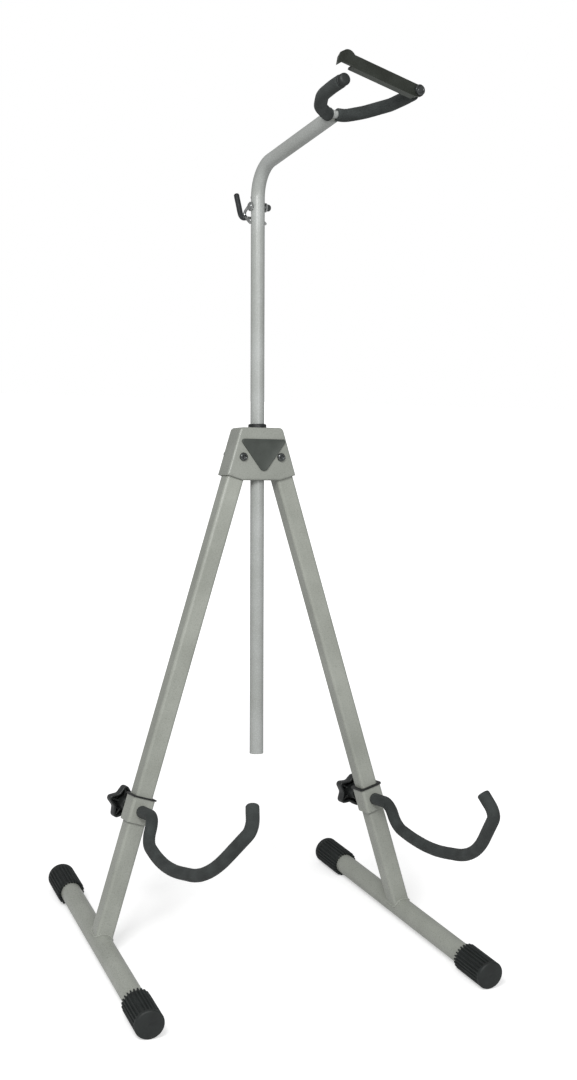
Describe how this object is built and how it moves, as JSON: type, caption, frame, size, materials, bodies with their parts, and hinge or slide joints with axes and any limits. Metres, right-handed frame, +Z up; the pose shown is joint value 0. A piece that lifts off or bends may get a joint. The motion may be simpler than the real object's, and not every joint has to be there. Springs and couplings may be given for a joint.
{
  "type": "double bass stand",
  "caption": "Folding A-frame floor stand: telescoping bent mast with a padded neck yoke and swinging locking bar, bow holder, and height-adjustable padded hooks on the splayed legs.",
  "frame": {"origin": "centre of the footprint, on the floor", "axes": "+Z up, -Y forward towards the hooks and yoke, +X to the right of a viewer facing +Y"},
  "size_m": [0.516, 0.5398, 1.1755],
  "materials": {
    "powder_coat_grey": "satin powder coat",
    "powder_coat_light": "satin powder coat",
    "black_rubber": "matte",
    "black_plastic": "matte",
    "black_foam": "closed-cell foam",
    "black_steel": "satin black",
    "zinc_steel": "zinc plated",
    "badge_plate": "smooth"
  },
  "bodies": {
    "housing": {"housing_shell": "powder_coat_grey", "housing_back": "powder_coat_grey", "badge": "badge_plate", "mast_guide": "black_plastic", "pivot_bolts": "zinc_steel", "pivot_nuts": "zinc_steel", "pivot_washers": "black_plastic"},
    "swivel": {"mast_bush": "black_plastic"},
    "mast": {"mast_tube": "powder_coat_light", "yoke_rod": "powder_coat_light", "yoke_foam_left": "black_foam", "yoke_foam_right": "black_foam", "yoke_tip_cap": "black_foam", "bar_bolt": "zinc_steel", "bar_washer": "zinc_steel", "bow_bracket": "zinc_steel", "bow_sleeve_left": "black_foam", "bow_sleeve_right": "black_foam", "bow_bolt": "zinc_steel", "bow_nut": "black_plastic"},
    "bar": {"locking_bar": "black_steel"},
    "lock": {"lock_knob": "black_plastic", "lock_stud": "zinc_steel"},
    "leg_left": {"leg_left": "powder_coat_grey", "foot_tube_left": "powder_coat_grey", "foot_cap_front_left": "black_rubber", "foot_cap_rear_left": "black_rubber"},
    "hook_left": {"clamp_left": "powder_coat_grey", "clamp_liner_left": "black_plastic", "hook_rod_left": "powder_coat_grey", "hook_foam_left": "black_foam"},
    "knob_left": {"clamp_knob_left": "black_plastic", "clamp_stud_left": "zinc_steel"},
    "leg_right": {"leg_right": "powder_coat_grey", "foot_tube_right": "powder_coat_grey", "foot_cap_front_right": "black_rubber", "foot_cap_rear_right": "black_rubber"},
    "hook_right": {"clamp_right": "powder_coat_grey", "clamp_liner_right": "black_plastic", "hook_rod_right": "powder_coat_grey", "hook_foam_right": "black_foam"},
    "knob_right": {"clamp_knob_right": "black_plastic", "clamp_stud_right": "zinc_steel"}
  },
  "joints": [
    {"name": "mast_turn", "type": "hinge", "parent": "housing", "child": "swivel", "pos_m": [0, 0.1657, 0.69099], "axis": [0, 0.184, 0.9829], "continuous": true},
    {"name": "mast_height", "type": "slide", "parent": "swivel", "child": "mast", "axis": [0, 0.184, 0.9829], "range_m": [-0.24, 0.33]},
    {"name": "bar_swing", "type": "hinge", "parent": "mast", "child": "bar", "pos_m": [0.0701, -0.07508, 1.13887], "axis": [-0.1004, 0.9534, -0.2846], "range_deg": [-5.8, 150]},
    {"name": "lock_knob_turn", "type": "hinge", "parent": "housing", "child": "lock", "pos_m": [0, 0.19326, 0.64798], "axis": [0, 0.9829, -0.184], "continuous": true},
    {"name": "leg_left_fold", "type": "hinge", "parent": "housing", "child": "leg_left", "pos_m": [-0.028, 0.1583, 0.65147], "axis": [0, -0.9829, 0.184], "range_deg": [0, 17.1]},
    {"name": "hook_left_slide", "type": "slide", "parent": "leg_left", "child": "hook_left", "axis": [0.294, 0.1758, 0.9395], "range_m": [-0.12, 0.4]},
    {"name": "knob_left_turn", "type": "hinge", "parent": "hook_left", "child": "knob_left", "pos_m": [-0.17326, 0.10447, 0.18119], "axis": [0, 0.9829, -0.184], "continuous": true},
    {"name": "leg_right_fold", "type": "hinge", "parent": "housing", "child": "leg_right", "pos_m": [0.028, 0.1583, 0.65147], "axis": [0, 0.9829, -0.184], "range_deg": [0, 17.1]},
    {"name": "hook_right_slide", "type": "slide", "parent": "leg_right", "child": "hook_right", "axis": [-0.294, 0.1758, 0.9395], "range_m": [-0.11, 0.41]},
    {"name": "knob_right_turn", "type": "hinge", "parent": "hook_right", "child": "knob_right", "pos_m": [0.1762, 0.10271, 0.17179], "axis": [0, 0.9829, -0.184], "continuous": true}
  ]
}
